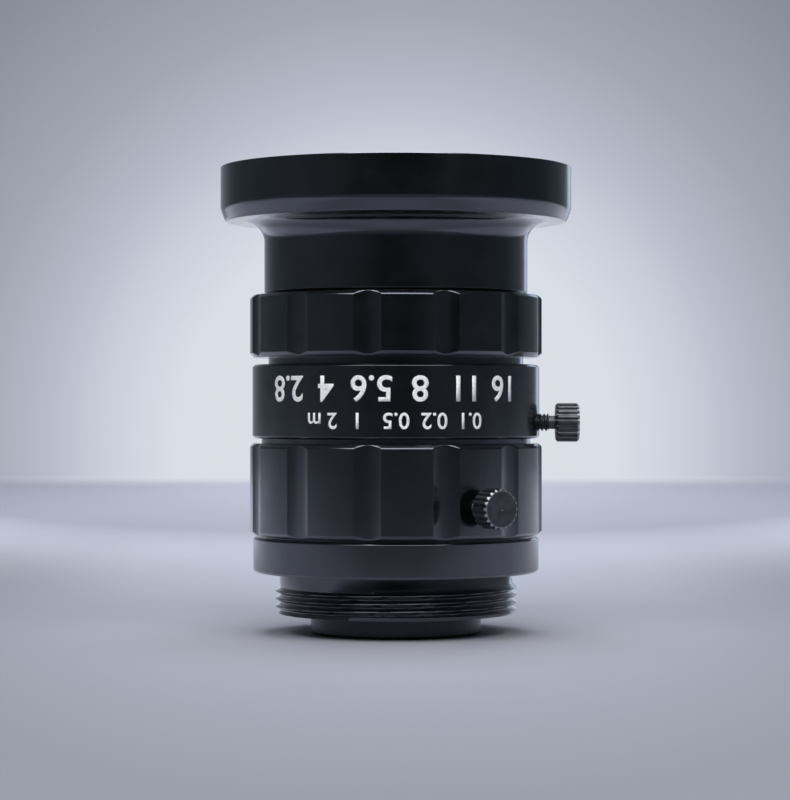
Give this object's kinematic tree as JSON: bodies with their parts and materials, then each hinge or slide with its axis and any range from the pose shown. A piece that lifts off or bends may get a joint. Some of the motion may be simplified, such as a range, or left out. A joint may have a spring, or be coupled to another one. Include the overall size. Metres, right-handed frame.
{
  "type": "c-mount machine vision lens",
  "caption": "Short fixed-focal camera lens with a C-mount thread, fluted focus and iris rings locked by thumbscrews, and a wide front flange.",
  "frame": {"origin": "on the optical axis where the full C-mount thread starts, 4.0 mm behind the mount shoulder", "axes": "+Z along the optical axis towards the front of the lens; -Y faces the viewer of the label; +X points along the iris lock screw"},
  "size_m": [0.0376, 0.0368, 0.0488],
  "materials": {
    "black_anodised": "black anodised, satin",
    "label_anodised": "black anodised, satin, printed",
    "black_steel": "black oxide",
    "bright_steel": "ground",
    "blade_steel": "matte black coated",
    "inner_black": "matte black anodised",
    "coated_glass": "polished, anti-reflection coated"
  },
  "bodies": {
    "mount": {"mount_base": "black_anodised", "guide_pin": "bright_steel", "focus_retainer": "inner_black"},
    "focus_ring": {"focus_ring": "black_anodised"},
    "focus_lock_screw": {"focus_lock_screw": "black_steel"},
    "barrel": {"main_barrel": "label_anodised", "iris_housing": "inner_black", "iris_cover": "inner_black", "front_barrel": "black_anodised", "rear_cell": "black_anodised", "middle_cell": "inner_black", "lens_1": "coated_glass", "lens_2": "coated_glass", "lens_3": "coated_glass", "lens_4": "coated_glass", "lens_5": "coated_glass", "lens_6": "coated_glass", "lens_7": "coated_glass", "front_lock_ring": "inner_black", "second_lock_ring": "inner_black", "middle_lock_ring": "inner_black", "cell_lock_ring": "inner_black", "lens_spacer": "inner_black", "rear_group_ring": "inner_black", "rear_lock_ring": "inner_black"},
    "iris_ring": {"iris_ring": "black_anodised", "iris_cam_ring": "inner_black", "iris_drive_pin": "bright_steel"},
    "iris_lock_screw": {"iris_lock_screw": "black_steel"},
    "iris_blade_1": {"iris_blade_1": "blade_steel"},
    "iris_blade_2": {"iris_blade_2": "blade_steel"},
    "iris_blade_3": {"iris_blade_3": "blade_steel"},
    "iris_blade_4": {"iris_blade_4": "blade_steel"},
    "iris_blade_5": {"iris_blade_5": "blade_steel"},
    "iris_blade_6": {"iris_blade_6": "blade_steel"}
  },
  "joints": [
    {"name": "focus_turn", "type": "hinge", "parent": "mount", "child": "focus_ring", "pos_m": [0, 0, 0], "axis": [0, 0, -1], "range_deg": [0, 108]},
    {"name": "focus_slide", "type": "slide", "parent": "mount", "child": "barrel", "axis": [0, 0, 1], "range_m": [0, 0.00045]},
    {"name": "iris_turn", "type": "hinge", "parent": "barrel", "child": "iris_ring", "pos_m": [0, 0, 0], "axis": [0, 0, 1], "range_deg": [0, 44]},
    {"name": "focus_lock_screw_turn", "type": "hinge", "parent": "focus_ring", "child": "focus_lock_screw", "pos_m": [0.00819, -0.01257, 0.0111], "axis": [0.5461, -0.8377, 0], "range_deg": [0, 360]},
    {"name": "iris_lock_screw_turn", "type": "hinge", "parent": "barrel", "child": "iris_lock_screw", "pos_m": [0.015, 0, 0.01962], "axis": [1, 0, 0], "range_deg": [0, 360]},
    {"name": "blade_1_pivot", "type": "hinge", "parent": "barrel", "child": "iris_blade_1", "pos_m": [0.0065, 0, 0.0192], "axis": [0, 0, 1], "range_deg": [0, 22]},
    {"name": "blade_2_pivot", "type": "hinge", "parent": "barrel", "child": "iris_blade_2", "pos_m": [0.00325, 0.00563, 0.0192], "axis": [0, 0, 1], "range_deg": [0, 22]},
    {"name": "blade_3_pivot", "type": "hinge", "parent": "barrel", "child": "iris_blade_3", "pos_m": [-0.00325, 0.00563, 0.0192], "axis": [0, 0, 1], "range_deg": [0, 22]},
    {"name": "blade_4_pivot", "type": "hinge", "parent": "barrel", "child": "iris_blade_4", "pos_m": [-0.0065, 0, 0.0192], "axis": [0, 0, 1], "range_deg": [0, 22]},
    {"name": "blade_5_pivot", "type": "hinge", "parent": "barrel", "child": "iris_blade_5", "pos_m": [-0.00325, -0.00563, 0.0192], "axis": [0, 0, 1], "range_deg": [0, 22]},
    {"name": "blade_6_pivot", "type": "hinge", "parent": "barrel", "child": "iris_blade_6", "pos_m": [0.00325, -0.00563, 0.0192], "axis": [0, 0, 1], "range_deg": [0, 22]}
  ],
  "couplings": [
    {"joint": "focus_slide", "follows": "focus_turn", "m_per_rad": 0.0002387},
    {"joint": "blade_1_pivot", "follows": "iris_turn", "ratio": 0.5},
    {"joint": "blade_2_pivot", "follows": "iris_turn", "ratio": 0.5},
    {"joint": "blade_3_pivot", "follows": "iris_turn", "ratio": 0.5},
    {"joint": "blade_4_pivot", "follows": "iris_turn", "ratio": 0.5},
    {"joint": "blade_5_pivot", "follows": "iris_turn", "ratio": 0.5},
    {"joint": "blade_6_pivot", "follows": "iris_turn", "ratio": 0.5}
  ]
}
